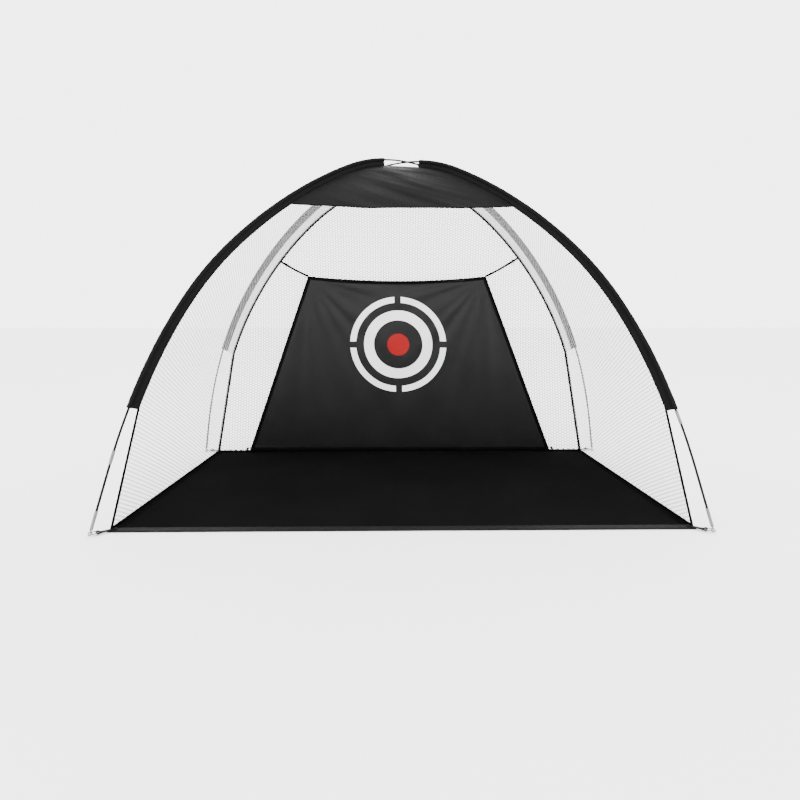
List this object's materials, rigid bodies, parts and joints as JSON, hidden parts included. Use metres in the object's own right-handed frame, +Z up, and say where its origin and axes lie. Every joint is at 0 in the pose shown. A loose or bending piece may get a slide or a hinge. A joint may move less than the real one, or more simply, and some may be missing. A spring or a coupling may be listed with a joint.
{
  "type": "golf chipping net",
  "caption": "Pop-up golf chipping net on two crossed poles, with a ground mat and a hinged target sheet",
  "frame": {"origin": "on the ground, under the middle of the overall box", "axes": "X across the mouth to the viewer's right, Y from the mouth to the back, Z up"},
  "size_m": [1.9942, 1.0198, 1.4],
  "materials": {
    "pole_fibre": "satin black glass fibre",
    "steel": "bright plated steel",
    "cord": "braided black cord",
    "webbing": "black webbing",
    "black_polyester": "plain woven black polyester",
    "white_net": "white knitted net",
    "white_tape": "white tape",
    "black_binding": "black binding tape",
    "woven_mat": "black woven mat",
    "mat_binding": "dark grey binding tape",
    "target_cloth": "black cloth with white rings and a red disc"
  },
  "bodies": {
    "frame": {"pole_a_section_1": "pole_fibre", "pole_a_section_2": "pole_fibre", "pole_a_section_3": "pole_fibre", "pole_a_section_4": "pole_fibre", "pole_a_section_5": "pole_fibre", "pole_a_section_6": "pole_fibre", "pole_a_section_7": "pole_fibre", "pole_b_section_1": "pole_fibre", "pole_b_section_2": "pole_fibre", "pole_b_section_3": "pole_fibre", "pole_b_section_4": "pole_fibre", "pole_b_section_5": "pole_fibre", "pole_b_section_6": "pole_fibre", "pole_b_section_7": "pole_fibre", "pole_a_ferrules": "steel", "pole_b_ferrules": "steel", "pole_a_shock_cord": "cord", "pole_b_shock_cord": "cord", "pole_tip_fl": "steel", "pole_tip_fr": "steel", "pole_tip_rl": "steel", "pole_tip_rr": "steel", "foot_strap_fl": "webbing", "foot_strap_fr": "webbing", "foot_strap_rl": "webbing", "foot_strap_rr": "webbing", "sleeve_fl": "black_polyester", "sleeve_fr": "black_polyester", "sleeve_rl": "black_polyester", "sleeve_rr": "black_polyester", "rear_web_left": "white_tape", "rear_web_right": "white_tape", "rear_seam_left": "black_binding", "rear_seam_right": "black_binding", "front_edge_left": "black_binding", "front_edge_right": "black_binding", "side_net_left": "white_net", "side_net_right": "white_net", "back_net": "white_net", "brow_panel": "black_polyester", "apex_patch": "black_polyester", "ground_mat": "woven_mat", "mat_hem_front": "mat_binding", "mat_hem_rear": "mat_binding", "mat_hem_left": "mat_binding", "mat_hem_right": "mat_binding", "target_bottom_ties": "cord"},
    "target": {"target_sheet": "target_cloth", "target_binding": "black_binding", "target_tie_left": "cord", "target_tie_right": "cord"},
    "pin_fl": {"foot_pin_fl": "steel", "foot_ring_fl": "steel"},
    "pin_fr": {"foot_pin_fr": "steel", "foot_ring_fr": "steel"},
    "pin_rl": {"foot_pin_rl": "steel", "foot_ring_rl": "steel"},
    "pin_rr": {"foot_pin_rr": "steel", "foot_ring_rr": "steel"}
  },
  "joints": [
    {"name": "target_swing", "type": "hinge", "parent": "frame", "child": "target", "pos_m": [0, 0.478, 0.009], "axis": [1, 0, 0], "range_deg": [-3, 77], "deforming": ["target_tie_left", "target_tie_right"]},
    {"name": "pin_fl_slide", "type": "slide", "parent": "frame", "child": "pin_fl", "axis": [-0.1553, -0.0777, -0.9848], "range_m": [0, 0.038], "deforming": ["foot_strap_fl"]},
    {"name": "pin_fr_slide", "type": "slide", "parent": "frame", "child": "pin_fr", "axis": [0.1553, -0.0777, -0.9848], "range_m": [0, 0.038], "deforming": ["foot_strap_fr"]},
    {"name": "pin_rl_slide", "type": "slide", "parent": "frame", "child": "pin_rl", "axis": [-0.0312, 0.0156, -0.9994], "range_m": [0, 0.038], "deforming": ["foot_strap_rl"]},
    {"name": "pin_rr_slide", "type": "slide", "parent": "frame", "child": "pin_rr", "axis": [0.0312, 0.0156, -0.9994], "range_m": [0, 0.038], "deforming": ["foot_strap_rr"]}
  ]
}
